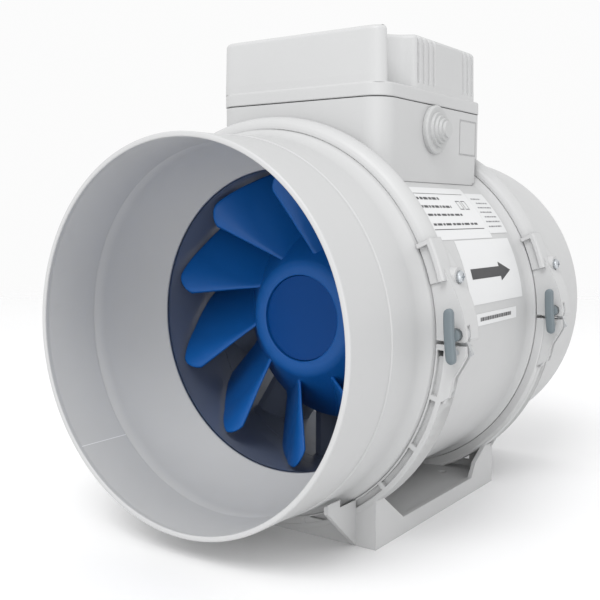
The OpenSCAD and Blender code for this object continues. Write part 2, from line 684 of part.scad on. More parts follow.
cap_at = [-14, 121.5];
module capacitor() color([0.88, 0.88, 0.9]) {
    rod_y(cap_at, 14, [-24, 32]);
    for (dx = [-5, 5]) translate([cap_at[0] + dx - 1.6, -31, axis_h + cap_at[1] - 0.4])
        cube([3.2, 8, 0.8]);
}

module capacitor_clip() color(steel_c) difference() {
    union() {
        rod_y(cap_at, 15.2, [0, 12]);
        translate([cap_at[0] - 24, 0, axis_h + 106.3]) cube([48, 12, 1.2]);
    }
    rod_y(cap_at, 14.1, [-5, 20]);
    for (dx = [-19.5, 19.5]) translate([cap_at[0] + dx, 6, axis_h + 100]) cylinder(r = 1.6, h = 12);
}

module lead_conduit() color([0.3, 0.3, 0.32]) translate([conduit_at[0], conduit_at[1],
    axis_h + pod_r - 6]) difference() {
        cylinder(r = 3.2, h = 60);
        translate([0, 0, -1]) cylinder(r = 2.2, h = 62);
    }

module lead_bush() color(rubber_c) translate([conduit_at[0], conduit_at[1], axis_h])
    difference() {
        union() {
            translate([0, 0, 99]) cylinder(r = 4, h = 10);
            translate([0, 0, 105.4]) cylinder(r = 6.4, h = 2);
        }
        cylinder(r = 3.3, h = 130);
    }

// ---------------------------------------------------------------- latches

module at_latch(side, rear) translate([0, rear ? joint_pitch : 0, 0])
    mirror([side < 0 ? 1 : 0, 0, 0]) children();

// Handle, hub and shaft; the shaft has a flat that drives the hook
module latch_lever() color(lever_c) difference() {
    union() {
        slab([handle_y - handle[2], handle_y]) translate([latch_x, latch_z]) rotate(latch_lean) {
            square([handle[0], handle[1] - handle[0]], center = true);
            for (s = [-1, 1]) translate([0, s * (handle[1] - handle[0]) / 2])
                circle(r = handle[0] / 2);
        }
        rod_y([latch_x, latch_z], 3.1, [handle_y - 1, joint_y[0] - 0.3]);
        rod_y([latch_x, latch_z], shaft_r, [handle_y, -61.5]);
    }
    slab([slot_y[0] + 0.3, -60]) translate([latch_x, latch_z])
        translate([-5, 1.9]) square([10, 5]);
}

// Hook that swings under the catch pin
module latch_hook() color(steel_c) slab([slot_y[0] + 0.4, slot_y[1] - 0.4])
    translate([latch_x, latch_z]) difference() {
        union() {
            circle(r = 4.4);
            intersection() {
                difference() { circle(r = hook_r[1]); circle(r = hook_r[0]); }
                polygon([[0, 0], 30 * [cos(-106), sin(-106)], [0, -40], [40, -40],
                    30 * [cos(-54), sin(-54)]]);
            }
            rotate(-63) translate([3, -1.5]) square([8.2, 3.4]);
        }
        difference() {
            circle(r = shaft_r + 0.04);
            translate([-5, 1.94]) square([10, 5]);
        }
    }

module latch_lever_front_right() at_latch(1, false) latch_lever();
module latch_lever_front_left() at_latch(-1, false) latch_lever();
module latch_lever_rear_right() at_latch(1, true) latch_lever();
module latch_lever_rear_left() at_latch(-1, true) latch_lever();
module latch_hook_front_right() at_latch(1, false) latch_hook();
module latch_hook_front_left() at_latch(-1, false) latch_hook();
module latch_hook_rear_right() at_latch(1, true) latch_hook();
module latch_hook_rear_left() at_latch(-1, true) latch_hook();

module latch_screws() color(steel_c) both_joints() both_sides()
    translate([boss_x + 0.05, boss_y, axis_h + boss_z]) rotate([0, 90, 0])
        pan_screw(3, 2.3, 1.9, 7.5);

// ---------------------------------------------------------------- labels

module label(y, a) color(label_c) sector(a, box2([casing_r + 0.03, casing_r + 0.25], y));
module rating_label() label([-46, 25], [27.4, 47]);
module service_label() label([25.3, 50], [29, 45]);
module arrow_label() label([-26, 46], [7, 27]);
module serial_label() label([-23, 35], [0.6, 4.2]);

// ---------------------------------------------------------------- assembly

mounting_base();
catch_pins();
inlet_spigot();
inlet_cone();
front_seal();
rear_seal();
centre_casing();
outlet_spigot();
impeller_shroud();
guide_vane_housing();
guide_vanes();
motor_pod();
pod_cover();
impeller();
impeller_blades();
impeller_cap();
impeller_screws();
rotor_shell();
rotor_cage();
rotor_shaft();
shaft_circlip();
front_bearing();
rear_bearing();
stator_core();
stator_windings();
motor_flange();
motor_screws();
terminal_box();
box_screws();
box_gasket();
box_lid();
lid_screws();
cable_grommet();
terminal_block();
terminal_screws();
capacitor();
capacitor_clip();
lead_conduit();
lead_bush();
latch_lever_front_right();
latch_lever_front_left();
latch_lever_rear_right();
latch_lever_rear_left();
latch_hook_front_right();
latch_hook_front_left();
latch_hook_rear_right();
latch_hook_rear_left();
latch_screws();
rating_label();
service_label();
arrow_label();
serial_label();
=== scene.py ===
"""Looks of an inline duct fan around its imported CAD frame: materials, pieces, light, camera."""

import json
import math

import bmesh
import bpy
from mathutils import Matrix, Vector, geometry, kdtree


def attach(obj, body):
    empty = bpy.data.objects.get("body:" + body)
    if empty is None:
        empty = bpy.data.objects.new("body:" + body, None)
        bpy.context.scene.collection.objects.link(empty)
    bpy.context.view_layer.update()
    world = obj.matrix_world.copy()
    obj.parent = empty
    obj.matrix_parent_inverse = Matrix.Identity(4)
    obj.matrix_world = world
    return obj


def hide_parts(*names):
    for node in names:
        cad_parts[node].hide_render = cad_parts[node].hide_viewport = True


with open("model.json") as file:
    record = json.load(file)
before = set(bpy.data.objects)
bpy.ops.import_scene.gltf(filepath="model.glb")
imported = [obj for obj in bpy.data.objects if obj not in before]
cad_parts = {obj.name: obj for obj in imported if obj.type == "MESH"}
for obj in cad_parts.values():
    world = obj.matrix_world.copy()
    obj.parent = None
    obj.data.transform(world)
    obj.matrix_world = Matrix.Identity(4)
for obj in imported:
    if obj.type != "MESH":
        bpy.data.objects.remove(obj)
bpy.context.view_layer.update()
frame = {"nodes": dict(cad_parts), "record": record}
NODES = frame["nodes"]
MM = 0.001
AXIS_Z = 111    # height of the fan axis over the base plane, in mm


# ---------------------------------------------------------------- node helpers

class Tree:
    """A material's node tree, with short calls for the nodes used here."""

    def __init__(self, name):
        self.mat = bpy.data.materials.new(name)
        self.mat.use_nodes = True
        self.nt = self.mat.node_tree
        self.nt.nodes.clear()
        out = self.nt.nodes.new("ShaderNodeOutputMaterial")
        self.bsdf = self.nt.nodes.new("ShaderNodeBsdfPrincipled")
        self.nt.links.new(self.bsdf.outputs[0], out.inputs[0])
        self.place = self.nt.nodes.new("ShaderNodeTexCoord").outputs["Object"]

    def set(self, **values):
        for key, value in values.items():
            self.bsdf.inputs[key.replace("_", " ")].default_value = value

    def link(self, a, b):
        self.nt.links.new(a, b)

    def stretched(self, factors):
        node = self.nt.nodes.new("ShaderNodeMapping")
        node.inputs["Scale"].default_value = factors
        self.link(self.place, node.inputs["Vector"])
        return node.outputs[0]

    def noise(self, per_metre, detail=2.0, rough=0.5, stretch=None):
        node = self.nt.nodes.new("ShaderNodeTexNoise")
        node.inputs["Scale"].default_value = per_metre
        node.inputs["Detail"].default_value = detail
        node.inputs["Roughness"].default_value = rough
        self.link(self.stretched(stretch) if stretch else self.place, node.inputs["Vector"])
        return node.outputs["Fac"]

    def ramp(self, value, low, high, out_low=0.0, out_high=1.0):
        node = self.nt.nodes.new("ShaderNodeMapRange")
        for key, number in zip(("From Min", "From Max", "To Min", "To Max"),
                               (low, high, out_low, out_high)):
            node.inputs[key].default_value = number
        self.link(value, node.inputs["Value"])
        return node.outputs["Result"]

    def mix(self, fac, a, b):
        node = self.nt.nodes.new("ShaderNodeMix")
        node.data_type = "RGBA"
        for socket, value in zip((node.inputs["Factor"], node.inputs[6], node.inputs[7]),
                                 (fac, a, b)):
            if isinstance(value, (int, float)):
                socket.default_value = value
            elif isinstance(value, tuple):
                socket.default_value = (*value, 1.0)[:4]
            else:
                self.link(value, socket)
        return node.outputs[2]

    def bump(self, height, strength, distance):
        """Adds relief on top of any relief that the material has already."""
        node = self.nt.nodes.new("ShaderNodeBump")
        node.inputs["Strength"].default_value = strength
        node.inputs["Distance"].default_value = distance
        self.link(height, node.inputs["Height"])
        last = self.bsdf.inputs["Normal"]
        if last.is_linked:
            self.link(last.links[0].from_socket, node.inputs["Normal"])
        self.link(node.outputs[0], last)


def soft_edges(t, radius_mm):
    """Catches light along moulded edges, whose radius is a fraction of a millimetre."""
    node = t.nt.nodes.new("ShaderNodeBevel")
    node.samples = 4
    node.inputs["Radius"].default_value = radius_mm * MM
    first = next(n for n in t.nt.nodes if n.type == "BUMP" and not n.inputs["Normal"].is_linked)
    t.link(node.outputs[0], first.inputs["Normal"])


PLASTIC_IOR = 1.46
GLOSS_DRIFT = 0.05


def moulded(name, colour, rough, *, drift=0.03, grain=2600, grain_depth=0.02):
    """Injection-moulded plastic: fine spark texture, faint cloudy colour, uneven gloss."""
    t = Tree(name)
    paler = tuple(min(1.0, c * (1 + drift)) for c in colour)
    deeper = tuple(c * (1 - drift) for c in colour)
    t.link(t.mix(t.noise(14, 3), deeper, paler), t.bsdf.inputs["Base Color"])
    t.link(t.ramp(t.noise(55, 4, 0.6), 0.3, 0.7, rough - GLOSS_DRIFT, rough + GLOSS_DRIFT),
           t.bsdf.inputs["Roughness"])
    t.set(IOR=PLASTIC_IOR)
    t.bump(t.noise(grain, 2), grain_depth, 0.0004)
    t.bump(t.noise(22, 2), 0.05, 0.002)
    return t


def metal(name, colour, rough, *, brushed=None, pits=0.02):
    """Plated, ground or cast metal; brushed stretches the scratches along an axis."""
    t = Tree(name)
    t.set(Metallic=1.0)
    dull = tuple(c * 0.78 for c in colour)
    t.link(t.mix(t.noise(90, 4), dull, colour), t.bsdf.inputs["Base Color"])
    t.link(t.ramp(t.noise(420, 3), 0.3, 0.7, rough * 0.75, rough * 1.3),
           t.bsdf.inputs["Roughness"])
    t.bump(t.noise(1, 3, 0.6, brushed or (2200, 2200, 2200)), pits, 0.0003)
    return t


casing = moulded("casing_plastic", (0.50, 0.503, 0.505), 0.42)
soft_edges(casing, 0.7)
blue = moulded("impeller_plastic", (0.006, 0.1, 0.37), 0.34, drift=0.06, grain=1800)
blue.set(Specular_IOR_Level=0.3)
cap_blue = moulded("cap_plastic", (0.002, 0.058, 0.25), 0.2, drift=0.04, grain_depth=0.004)
cap_blue.set(Specular_IOR_Level=0.12)
# Dark blue-grey for the duct parts behind the impeller. The darkness is partly their own dark
# plastic and partly painted shade, and the blue tint is a painted reflection of the blue
# impeller.
dark_and_painted_shade = moulded("duct_plastic_and_painted_shade", (0.15, 0.175, 0.235), 0.40, drift=0.08)
lever = moulded("lever_plastic", (0.145, 0.175, 0.192), 0.4)
zinc = metal("zinc_plating", (0.62, 0.65, 0.68), 0.32)
satin = metal("satin_zinc", (0.66, 0.67, 0.68), 0.55, pits=0.01)
ground = metal("ground_steel", (0.5, 0.51, 0.53), 0.22, brushed=(300, 5000, 300))
stack = metal("lamination_stack", (0.22, 0.23, 0.25), 0.45, brushed=(150, 9000, 150), pits=0.12)
copper = metal("copper_winding", (0.55, 0.24, 0.09), 0.35, brushed=(4000, 500, 500), pits=0.2)
cast = metal("cast_alloy", (0.5, 0.51, 0.53), 0.5, pits=0.1)
rubber = moulded("seal_rubber", (0.02, 0.02, 0.023), 0.7)
grommet = moulded("grommet_rubber", (0.47, 0.475, 0.475), 0.55)
block = moulded("terminal_plastic", (0.75, 0.74, 0.68), 0.4)
can = moulded("capacitor_can", (0.74, 0.74, 0.76), 0.35)
conduit = moulded("conduit_plastic", (0.03, 0.03, 0.035), 0.45)
film = moulded("label_film", (0.67, 0.675, 0.68), 0.36, drift=0.01)

SLOT_LOOKS = {
    "casing_grey": casing, "impeller_blue": blue, "duct_dark": dark_and_painted_shade, "lever_grey": lever,
    "zinc_steel": zinc, "ground_steel": ground, "laminations": stack, "copper_wire": copper,
    "cast_alloy": cast, "seal_rubber": rubber, "grommet_grey": grommet, "block_plastic": block,
    "can_white": can, "conduit_black": conduit, "label_white": film,
}
for part in frame["record"]["subparts"]:
    cad_mesh = NODES[part["node"]].data
    cad_mesh.materials.clear()
    look = satin if part["node"].startswith("latch_hook") else SLOT_LOOKS[part["material_slot"]]
    cad_mesh.materials.append(look.mat)


# ---------------------------------------------------------------- mesh helpers

def finish_piece(name, verts, faces, look, body, stands_for=(), smooth=True):
    """A mesh in mm, given a look, a body and the CAD nodes that it stands for."""
    mesh = bpy.data.meshes.new(name)
    mesh.from_pydata([[c * MM for c in v] for v in verts], [], faces)
    mesh.validate()
    work = bmesh.new()
    work.from_mesh(mesh)
    bmesh.ops.remove_doubles(work, verts=work.verts, dist=1e-6)
    bmesh.ops.recalc_face_normals(work, faces=work.faces)
    work.to_mesh(mesh)
    work.free()
    for polygon in mesh.polygons:
        polygon.use_smooth = smooth
    mesh.materials.append(look.mat)
    obj = bpy.data.objects.new(name, mesh)
    bpy.context.scene.collection.objects.link(obj)
    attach(obj, body)
    if stands_for:
        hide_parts(*stands_for)
    return obj


def weighted(obj):
    """Shades flat faces flat and rounded edges smooth."""
    mod = obj.modifiers.new("weighted_normals", "WEIGHTED_NORMAL")
    mod.weight = 90
    mod.keep_sharp = True


def rounded(corners, steps=4):
    """Closed outline from (radius, y, fillet) corners, in mm."""
    outline = []
    for i, (r, y, fillet) in enumerate(corners):
        here = Vector((r, y))
        if not fillet:
            outline.append(here)
            continue
        to_last = (Vector(corners[i - 1][:2]) - here).normalized()
        to_next = (Vector(corners[(i + 1) % len(corners)][:2]) - here).normalized()
        half = to_last.angle(to_next) / 2
        centre = here + (to_last + to_next).normalized() * fillet / math.sin(half)
        back = fillet / math.tan(half)
        start, end = here + to_last * back - centre, here + to_next * back - centre
        whole = start.angle(end)
        for k in range(steps + 1):
            t = k / steps
            outline.append(centre + start * (math.sin((1 - t) * whole) / math.sin(whole))
                           + end * (math.sin(t * whole) / math.sin(whole)))
    return outline


def around(r, angle, y):
    """Point at a radius and angle (from +X towards +Z) about the fan axis, in mm."""
    return (r * math.cos(angle), y, AXIS_Z + r * math.sin(angle))


def lathed(outline, count=240):
    """Vertices and faces of a closed outline of (radius, y) turned about the fan axis."""
    n = len(outline)
    verts = [around(p[0], 2 * math.pi * k / count, p[1]) for k in range(count) for p in outline]
    faces = [(k * n + i, k * n + (i + 1) % n, (k + 1) % count * n + (i + 1) % n,
              (k + 1) % count * n + i) for k in range(count) for i in range(n)]
    return verts, faces


# ---------------------------------------------------------------- impeller

HUB_R = 64.5             # radius at the back of the hub
BLADES = 10
BLADE_START = math.radians(9.5)
BLADE_T = 2.2            # thickness at the root
CREASE = 0.3             # share of the chord from the leading edge to the moulded crease
CORNER_FROM = 0.8        # share of the span where the tip's leading corner begins to round
CORNER_CHORD = 0.1       # share of the chord that the corner takes at the tip
TIP_FROM = 0.95          # share of the span where the tip's edge begins to round


def root_edge(u):
    """Radius, y and angle of the blade's root, u from the leading to the trailing edge."""
    return (36 + (HUB_R - 36.6) * u, -30 + 29 * u, math.radians(-24 * u ** 0.9))


def tip_edge(u):
    """Radius, y and angle of the blade's tip, which follows the widening shroud."""
    y = -50 + 48 * u
    return (min(84.6 + (y + 54) * 0.181, 92.6), y, math.radians(20 - 35.5 * u ** 0.6))


def blade_middle(u, v):
    """Point on the blade's middle surface, u along the chord, v from hub to tip."""
    reach = min(1.0, max(0.0, (v - CORNER_FROM) / (1 - CORNER_FROM)))
    corner = CORNER_CHORD * (1 - math.sqrt(1 - reach * reach))
    w = corner + (1 - corner) * u
    root, tip = (Vector((r * math.cos(angle), r * math.sin(angle), y))
                 for r, y, angle in (root_edge(w), tip_edge(w)))
    return root.lerp(tip, v)


def blade_mesh(turn, verts, faces):
    """Adds one blade: a closed loop round the section at each height, rounded at its edges."""
    chord_steps, span_steps = 26, 22
    spans = [-0.12 + 1.07 * k / span_steps for k in range(span_steps + 1)]
    spans += [TIP_FROM + (1 - TIP_FROM) * math.sin(math.pi / 2 * k / 4) for k in range(1, 5)]
    shares = [0.5 - 0.5 * math.cos(math.pi * k / chord_steps) for k in range(chord_steps + 1)]
    loop = [(u, 1) for u in shares] + [(u, -1) for u in reversed(shares[1:-1])]
    n = len(loop)
    first = len(verts)
    for v in spans:
        above = max(0.0, v)
        tip = math.sqrt(max(0.0, 1 - (max(0.0, v - TIP_FROM) / (1 - TIP_FROM)) ** 2))
        chord = (blade_middle(1, v) - blade_middle(0, v)).length
        crease = 0.04 + CREASE * min(above, 1.0)
        for u, side in loop:
            du = blade_middle(min(u + 0.01, 1), v) - blade_middle(max(u - 0.01, 0), v)
            dv = blade_middle(u, v + 0.01) - blade_middle(u, v - 0.01)
            normal = du.cross(dv).normalized()
            thick = BLADE_T * (1 - 0.35 * above)
            nose = min(1.0, u * chord / (0.6 * thick), (1 - u) * chord / (0.4 * thick))
            thick *= math.sqrt(max(0.0, 1 - (1 - nose) ** 2)) * tip
            fillet = 0.9 * max(0.0, 1 - above / 0.07) ** 2 * min(1.0, nose)
            fold = -0.15 * max(0.0, crease - u) * chord * min(1.0, v * 3)
            p = blade_middle(u, v) + normal * (side * (thick / 2 + fillet) + fold)
            verts.append(around(math.hypot(p.x, p.y), math.atan2(p.y, p.x) + turn, p.z))
    for j in range(len(spans) - 1):
        for i in range(n):
            a, b = first + j * n + i, first + j * n + (i + 1) % n
            faces.append((a, b, b + n, a + n))
    for base in (first, first + (len(spans) - 1) * n):
        for i in range(chord_steps):
            a, b = base + i, base + i + 1
            c, d = base + (n - i - 1) % n, base + (n - i) % n
            faces.append((a, b, c, d) if i else (a, b, c))


hub = rounded([
    (26, -37.4, 0.7), (32.2, -37.9, 9), (HUB_R, 0, 0.6), (HUB_R, 2.4, 0.5),
    (HUB_R - 2.6, 2.4, 0.5), (HUB_R - 2.6, 0.8, 0), (28.5, -33.2, 0),
    (26.6, -33, 0), (26.6, -14.3, 0), (4.3, -14.3, 0), (4.3, -17, 0), (24, -17, 0),
    (24, -33, 0), (25.2, -33, 0), (25.2, -37, 0.3)], 8)
verts, faces = lathed(hub)
weighted(finish_piece("hub_shell", verts, faces, blue, "rotor", ["impeller"]))
verts, faces = [], []
for k in range(BLADES):
    blade_mesh(BLADE_START + 2 * math.pi * k / BLADES, verts, faces)
finish_piece("fan_blades", verts, faces, blue, "rotor", ["impeller_blades"])

cap = rounded([(0, -35.5, 0), (24.9, -35.5, 0.3), (24.9, -33.1, 0), (0, -33.1, 0)])
verts, faces = lathed(cap, 160)
weighted(finish_piece("hub_cap", verts, faces, cap_blue, "rotor",
                      ["impeller_cap"]))


# ---------------------------------------------------------------- spigot and bellmouth

BORE_R = 97              # inside radius of the spigot
CONE_RHO = 83            # radius of the bellmouth's curve
CONE_CENTRE = (BORE_R - CONE_RHO, -100)
CONE_EYE = -57           # y where the bellmouth ends at the impeller
CONE_WALL = 2.2


def turned_piece(name, corners, node):
    """A casing piece turned about the fan axis, in place of a CAD node."""
    verts, faces = lathed(rounded(corners, 5), 360)
    weighted(finish_piece(name, verts, faces, casing, "housing", [node]))


def flare(r0, r1, y0, y1, steps):
    """Arc from (r0, y0), along the duct there, out to (r1, y1)."""
    dy, dr = y1 - y0, r1 - r0
    rho = (dy * dy + dr * dr) / (2 * dr)
    return [(r0 + rho - math.sqrt(rho * rho - (dy * k / steps) ** 2), y0 + dy * k / steps, 0)
            for k in range(steps + 1)]


def cone_r(y, grow=0.0):
    """Radius of the bellmouth at y, or of its outside with grow set to the wall."""
    return CONE_CENTRE[0] + math.sqrt((CONE_RHO + grow) ** 2 - max(0, y - CONE_CENTRE[1]) ** 2)


turned_piece("inlet_tube", [
    (96.6, -142, 0.8), (99.5, -142, 0.9), (99.5, -107.6, 0), (100.3, -107, 0.3)]
    + flare(101, 105.2, -86, -75, 10)
    + [(105.2, -63.5, 0.4), (102.7, -63.5, 0), (102.7, -73, 0), (98.3, -87, 0), (98.3, -107, 0),
       (BORE_R, -107, 0), (BORE_R, -139, 1.0)], "inlet_spigot")

turned_piece("inlet_bellmouth", [
    (98.2, -106.55, 0), (97.35, -106.55, 0)]
    + [(cone_r(y), y, 0) for y in
       (CONE_CENTRE[1] + (CONE_EYE - CONE_CENTRE[1]) * k / 28 for k in range(29))]
    + [(99.2, CONE_EYE, 0), (99.2, CONE_EYE - 2, 0),
       (cone_r(CONE_EYE - 2, CONE_WALL), CONE_EYE - 2, 0)]
    + [(min(98.2, cone_r(y, CONE_WALL)), y, 0) for y in
       (CONE_EYE - 2 - 27 * k / 10 for k in range(1, 11))], "inlet_cone")


# ---------------------------------------------------------------- lid of the terminal box

BOX_X, BOX_Y, BOX_CORNER = (-42.7, 66.4), (-59, 65), 12
SEAM_Z, LEDGE_Z, LID_Z = 231.7, 239, 267.5
WELL_R, WELL_Y = 13.6, -37.6
COLUMN_R, COLUMN_IN = 7.5, (8.2, 7.9)   # front columns, and how far their centres lie in
GROOVES = [y0 + 6 * k for y0 in (-20, 36) for k in range(4)]
GROOVE_Z = LEDGE_Z + 2.6
GROOVE_HALF, GROOVE_DEPTH = 1.25, 1.3
TOP_RADIUS, DRAFT = 2.6, 0.6


def arc(centre, r, start, end, step=2.0):
    """Points along an arc, with its angles in degrees."""
    n = max(2, int(abs(end - start) / step))
    return [Vector((centre[0] + r * math.cos(math.radians(start + (end - start) * k / n)),
                    centre[1] + r * math.sin(math.radians(start + (end - start) * k / n))))
            for k in range(n + 1)]


def evenly(path, spacing):
    """Closed path resampled at an even spacing."""
    lengths = [(path[(i + 1) % len(path)] - path[i]).length for i in range(len(path))]
    total = sum(lengths)
    count = int(total / spacing)
    result, i, passed = [], 0, 0.0
    for k in range(count):
        at = total * k / count
        while passed + lengths[i] < at:
            passed += lengths[i]
            i += 1
        t = (at - passed) / max(lengths[i], 1e-9)
        result.append(path[i].lerp(path[(i + 1) % len(path)], t))
    return result


def softened_path(path, rounds):
    """Closed path with its corners rounded by repeated averaging."""
    for _ in range(rounds):
        path = [(path[i - 1] + 2 * path[i] + path[(i + 1) % len(path)]) / 4
                for i in range(len(path))]
    return path


def plain_outline(y1):
    """Lower part of the lid: a rectangle with round corners."""
    (x0, x1), y0, c = BOX_X, BOX_Y[0], BOX_CORNER - 1
    return (arc((x1 - c, y0 + c), c, -90, 0) + arc((x1 - c, y1 - c), c, 0, 90)
            + arc((x0 + c, y1 - c), c, 90, 180) + arc((x0 + c, y0 + c), c, 180, 270))


def scooped_outline(y1):
    """Upper part of the lid: rounded columns at the front, a screw well behind each."""
    (x0, x1), y0, c = (BOX_X[0] + 0.4, BOX_X[1] - 0.4), BOX_Y[0], BOX_CORNER
    near = 180 + math.degrees(math.acos(0.95 / WELL_R))
    far = math.degrees(math.acos(-0.6 / WELL_R))
    dx, dy = COLUMN_IN
    return (arc((x1 - dx, y0 + dy), COLUMN_R, -90, 0)
            + arc((x1 + 0.6, WELL_Y), WELL_R, near, far)
            + arc((x1 - c, y1 - c), c, 0, 90) + arc((x0 + c, y1 - c), c, 90, 180)
            + arc((x0 - 0.6, WELL_Y), WELL_R, 180 - far, 180 - near)
            + arc((x0 + dx, y0 + dy), COLUMN_R, 180, 270))


def outward(path):
    """Outward direction at each point of a closed path that runs anticlockwise."""
    n = len(path)
    result = []
    for i in range(n):
        d = (path[(i + 1) % n] - path[i - 1]).normalized()
        result.append(Vector((d.y, -d.x)))
    return result


def lofted(path, levels, verts, faces, groove=None):
    """Adds a wall round a path through (z, inset) levels; returns the last ring's indices."""
    normals = outward(path)
    n = len(path)
    first = len(verts)
    for z, inset in levels:
        for p, q in zip(path, normals):
            depth = inset + (groove(p, z) if groove else 0)
            verts.append((p.x - q.x * depth, p.y - q.y * depth, z))
    for j in range(len(levels) - 1):
        for i in range(n):
            a, b = first + j * n + i, first + j * n + (i + 1) % n
            faces.append((a, b, b + n, a + n))
    last = first + (len(levels) - 1) * n
    return list(range(last, last + n))


def capped(rings, verts, faces):
    """Flat face bounded by an outer ring and holes."""
    flat = [i for ring in rings for i in ring]
    if len(rings) == 1:
        faces.append(tuple(flat))
        return
    loops = [[Vector(verts[i]) for i in ring] for ring in rings]
    for tri in geometry.tessellate_polygon(loops):
        a, b, c = (Vector(verts[flat[k]]) for k in tri)
        if (b - a).cross(c - a).length > 1e-4:
            faces.append(tuple(flat[k] for k in tri))


def groove_depth(p, z):
    """How far the grip grooves on the lid's sides cut in at a point."""
    if z < GROOVE_Z or min(abs(p.x - x) for x in BOX_X) > 0.6:
        return 0.0
    off = min(abs(p.y - y) for y in GROOVES)
    across = min(1.0, max(0.0, (GROOVE_HALF - off) / 0.3))
    return GROOVE_DEPTH * across * min(1.0, z - GROOVE_Z)


def top_levels(z0, z1, radius, draft, steps=7):
    """(z, inset) levels of a wall with draft that rounds over at its top."""
    levels = [(z0 + (z1 - radius - z0) * k / 4, draft * k / 4) for k in range(4)]
    return levels + [(z1 - radius + radius * math.sin(math.pi / 2 * k / steps),
                      draft + radius * (1 - math.cos(math.pi / 2 * k / steps)))
                     for k in range(steps + 1)]


verts, faces = [], []
upper = softened_path(evenly(scooped_outline(BOX_Y[1] - 5), 0.3), 130)
levels = top_levels(LEDGE_Z - 0.5, LID_Z, TOP_RADIUS, DRAFT)
levels[1:1] = [(LEDGE_Z + z, 0.03) for z in (2.5, 3.0, 3.6, 4.1)]   # where the grooves begin
top_ring = lofted(upper, levels, verts, faces, groove_depth)
# the top leaves out points that crossed over where the outline bends tighter than the inset
wall = kdtree.KDTree(len(upper))
for i, p in enumerate(upper):
    wall.insert((p.x, p.y, 0), i)
wall.balance()
full_inset = levels[-1][1] - 0.03
capped([[i for i in top_ring if wall.find((verts[i][0], verts[i][1], 0))[2] > full_inset]],
       verts, faces)
ledge = evenly(plain_outline(BOX_Y[1]), 1.2)
levels = [(SEAM_Z, 0.25), (SEAM_Z + 0.3, 0)] + top_levels(SEAM_Z + 0.6, LEDGE_Z, 1.0, 0.1, 4)
rim = lofted(ledge, levels, verts, faces)
foot = rim[0] - (len(levels) - 1) * len(ledge)
screw_holes = []
for x in (BOX_X[0] + 6.2, BOX_X[1] - 6.2):
    hole = arc((x, -43), 3.7, 360, 10, 10)
    down = lofted(hole, [(LEDGE_Z, -0.3), (LEDGE_Z - 0.3, 0), (LEDGE_Z - 3.4, 0)], verts, faces)
    capped([down], verts, faces)
    screw_holes.append([i - 2 * len(hole) for i in down])
capped([rim] + screw_holes, verts, faces)
capped([list(range(foot, foot + len(ledge)))], verts, faces)
weighted(finish_piece("lid_shell", verts, faces, casing, "housing", ["box_lid"]))


# ---------------------------------------------------------------- printed labels

INK_R = 102.31           # just proud of the label films
FRAME_W = 0.5            # line width of the empty squares


def on_tube(y0, y1, a0, a1, verts, faces, r=INK_R, y2=None, y3=None):
    """Thin patch on the casing, from y0..y1 at angle a0 to y2..y3 at angle a1."""
    y2, y3 = (y0 if y2 is None else y2), (y1 if y3 is None else y3)
    steps = max(2, int(abs(a1 - a0)) * 2)
    first = len(verts)
    for k in range(steps + 1):
        t = k / steps
        a = math.radians(a0 + (a1 - a0) * t)
        verts += [around(r, a, y0 + (y2 - y0) * t), around(r, a, y1 + (y3 - y1) * t)]
    faces += [(first + 2 * k, first + 2 * k + 1, first + 2 * k + 3, first + 2 * k + 2)
              for k in range(steps)]


def bars(y0, y1, a, height, widths, verts, faces):
    """A row of short bars standing for print; widths alternate bar and gap."""
    y, i = y0, 0
    while y < y1:
        w = widths[i % len(widths)]
        if i % 2 == 0:
            on_tube(y, min(y + w, y1), a, a + height, verts, faces)
        y += w
        i += 1


ink = moulded("label_ink", (0.032, 0.032, 0.035), 0.4)
faint_ink = moulded("label_ink_grey", (0.2, 0.2, 0.21), 0.45)
verts, faces = [], []
# arrow: shaft, then the lower and the upper half of its head
on_tube(-19, 19, 14.6, 17.8, verts, faces)
on_tube(19, 19.4, 13.2, 16.2, verts, faces, y2=19, y3=34)
on_tube(19, 34, 16.2, 19.2, verts, faces, y2=19, y3=19.4)
for y0, y1, angle, height, widths in (
        (-40, 14, 32.2, 0.75, (3.4, 1.1, 5.2, 1.4, 2.3, 1.2, 6.1, 2.0)),
        (-40, 2, 35.6, 0.75, (5.6, 1.2, 2.6, 1.1, 4.0, 1.5)),
        (-42, -6, 38.6, 0.9, (2.9, 1.0, 4.4, 1.2, 1.9, 1.3)),
        (-42, -14, 41.8, 1.0, (4.6, 1.3, 3.1, 1.0)),
        (-15, 27, 1.85, 1.15, (1.3, 0.5, 0.9, 0.4, 1.6, 0.5, 0.7, 0.45))):
    bars(y0, y1, angle, height, widths, verts, faces)
on_tube(-42, 20, 30.7, 30.95, verts, faces)
on_tube(-42, 20, 44.2, 44.4, verts, faces)
for y in (4, 11):
    on_tube(y, y + 5, 38, 38.3, verts, faces)
    on_tube(y, y + 5, 41.2, 41.5, verts, faces)
    on_tube(y, y + FRAME_W, 38, 41.5, verts, faces)
    on_tube(y + 5 - FRAME_W, y + 5, 38, 41.5, verts, faces)
finish_piece("label_print", verts, faces, ink, "housing")

verts, faces = [], []
for k, (start, end) in enumerate(((28, 46), (28, 48), (30, 47), (28, 44), (29, 48), (31, 46),
                                  (28, 41))):
    bars(start, end, 31.2 + 1.85 * k, 0.5, (2.2, 0.8, 3.6, 0.7, 1.5, 0.8), verts, faces)
finish_piece("label_small_print", verts, faces, faint_ink, "housing")


# ---------------------------------------------------------------- small moulded details

CHANNEL_R, CHANNEL_Y, CHANNEL_T = (106.2, 109.8), -71.4, 1.2

# A fine mould line in the bore, drawn as a flat strip coloured much lighter than the casing. The
# lighter colour is a painted highlight where the line catches light.
seam_painted_highlight = moulded("mould_seam_painted_highlight", (0.74, 0.743, 0.755), 0.45)
verts, faces = [], []
on_tube(-141, -107.2, 221.9, 222.15, verts, faces, r=BORE_R - 0.06)
finish_piece("bore_seam_painted_highlight", verts, faces, seam_painted_highlight, "housing")

